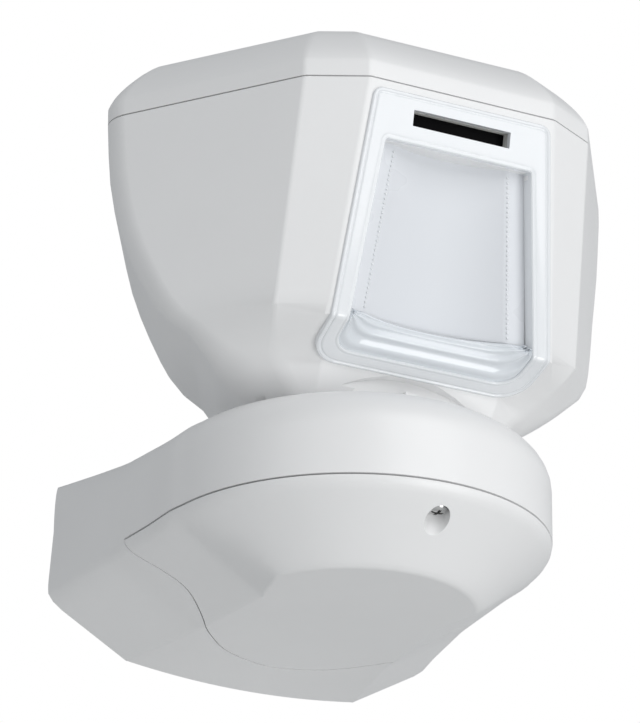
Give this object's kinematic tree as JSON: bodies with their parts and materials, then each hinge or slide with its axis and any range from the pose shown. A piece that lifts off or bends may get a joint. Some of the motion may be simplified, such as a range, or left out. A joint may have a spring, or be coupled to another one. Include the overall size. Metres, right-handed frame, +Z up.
{
  "type": "motion sensor",
  "caption": "Wall-mounted outdoor motion sensor with a swivelling faceted head, recessed curved lens, narrow dark window and rounded bracket.",
  "frame": {"origin": "centre of the bracket's flat wall face", "axes": "+Z up, the sensor looks along -Y, +Y points into the wall, X is left to right"},
  "size_m": [0.1494, 0.1232, 0.1471],
  "materials": {
    "white_abs": "moulded satin-gloss white ABS",
    "bezel_gloss": "polished milky white plastic",
    "lens_film": "milky pale blue-grey lens sheet with fine grooves",
    "chin_window": "glossy milky plastic with low ridges",
    "frame_white": "matt moulded plastic",
    "black_filter": "black infrared filter",
    "black_nylon": "black nylon",
    "pale_nylon": "natural acetal",
    "seal_rubber": "soft dark rubber",
    "brass": "knurled brass",
    "spring_steel": "spring steel",
    "chrome_screw": "bright nickel plate",
    "sensor_can": "satin metal can",
    "circuit_board": "green solder mask",
    "terminal_green": "green polyamide",
    "mirror_coat": "metallised plastic mirror",
    "plunger_red": "red nylon",
    "led_lens": "clear red acrylic",
    "chip_black": "black epoxy"
  },
  "bodies": {
    "bracket": {"bracket_shell": "white_abs", "wall_plate": "frame_white", "cable_grommet": "seal_rubber", "cover_insert": "brass", "detent_ring": "black_nylon", "neck_seal": "seal_rubber", "carrier_board": "circuit_board", "terminal_block": "terminal_green", "terminal_screws": "chrome_screw", "tamper_switch": "black_nylon"},
    "cover": {"bracket_cover": "white_abs"},
    "cover_screw": {"cover_screw": "chrome_screw"},
    "tamper_plunger": {"tamper_plunger": "plunger_red"},
    "head": {"swivel_spindle": "pale_nylon", "friction_washer": "pale_nylon", "wave_washer": "spring_steel", "spindle_nut": "pale_nylon", "detent_follower": "pale_nylon", "head_housing": "white_abs", "front_bezel": "bezel_gloss", "lens_frame": "frame_white", "fresnel_lens": "lens_film", "chin_lens": "chin_window", "slot_sleeve": "frame_white", "slot_window": "black_filter", "chassis": "frame_white", "chassis_screws": "chrome_screw", "main_board": "circuit_board", "board_screws": "chrome_screw", "lower_pyro_sensor": "sensor_can", "upper_pyro_sensor": "sensor_can", "optics_hood": "black_nylon", "mirror_bracket": "black_nylon", "status_led": "led_lens", "light_pipe": "led_lens", "control_chips": "chip_black", "alarm_relay": "chip_black", "board_connector": "chip_black", "capacitors": "sensor_can", "trimmer_body": "black_nylon", "cap_switch": "black_nylon", "housing_insert": "brass", "vent_plug": "seal_rubber", "head_gasket": "seal_rubber"},
    "mirror": {"focus_mirror": "mirror_coat"},
    "trimmer": {"trimmer_rotor": "plunger_red"},
    "cap_plunger": {"cap_plunger": "plunger_red"},
    "cap": {"top_cap": "white_abs"},
    "cap_screw": {"cap_screw": "chrome_screw"}
  },
  "joints": [
    {"name": "head_swivel", "type": "hinge", "parent": "bracket", "child": "head", "pos_m": [0, -0.0615, 0.023], "axis": [0, 0, 1], "range_deg": [-45, 45]},
    {"name": "cover_drop", "type": "slide", "parent": "bracket", "child": "cover", "axis": [0, 0, -1], "range_m": [0, 0.03]},
    {"name": "cover_screw_turn", "type": "hinge", "parent": "cover", "child": "cover_screw", "pos_m": [0, -0.1075, -0.01], "axis": [0, 0, 1], "continuous": true},
    {"name": "cover_tamper_press", "type": "slide", "parent": "bracket", "child": "tamper_plunger", "axis": [0, 0, 1], "range_m": [0, 0.0012], "stiffness_N_per_m": 120},
    {"name": "mirror_tilt", "type": "hinge", "parent": "head", "child": "mirror", "pos_m": [0, -0.086, 0.091], "axis": [1, 0, 0], "range_deg": [-6, 6]},
    {"name": "trimmer_turn", "type": "hinge", "parent": "head", "child": "trimmer", "pos_m": [0.025, -0.08, 0.075], "axis": [0, 1, 0], "range_deg": [-135, 135]},
    {"name": "cap_tamper_press", "type": "slide", "parent": "head", "child": "cap_plunger", "axis": [0, 0, -1], "range_m": [0, 0.0012], "stiffness_N_per_m": 120},
    {"name": "cap_lift", "type": "slide", "parent": "head", "child": "cap", "axis": [0, 0, 1], "range_m": [0, 0.04]},
    {"name": "cap_screw_turn", "type": "hinge", "parent": "cap", "child": "cap_screw", "pos_m": [0, -0.042, 0.107], "axis": [0, 0, 1], "continuous": true}
  ]
}
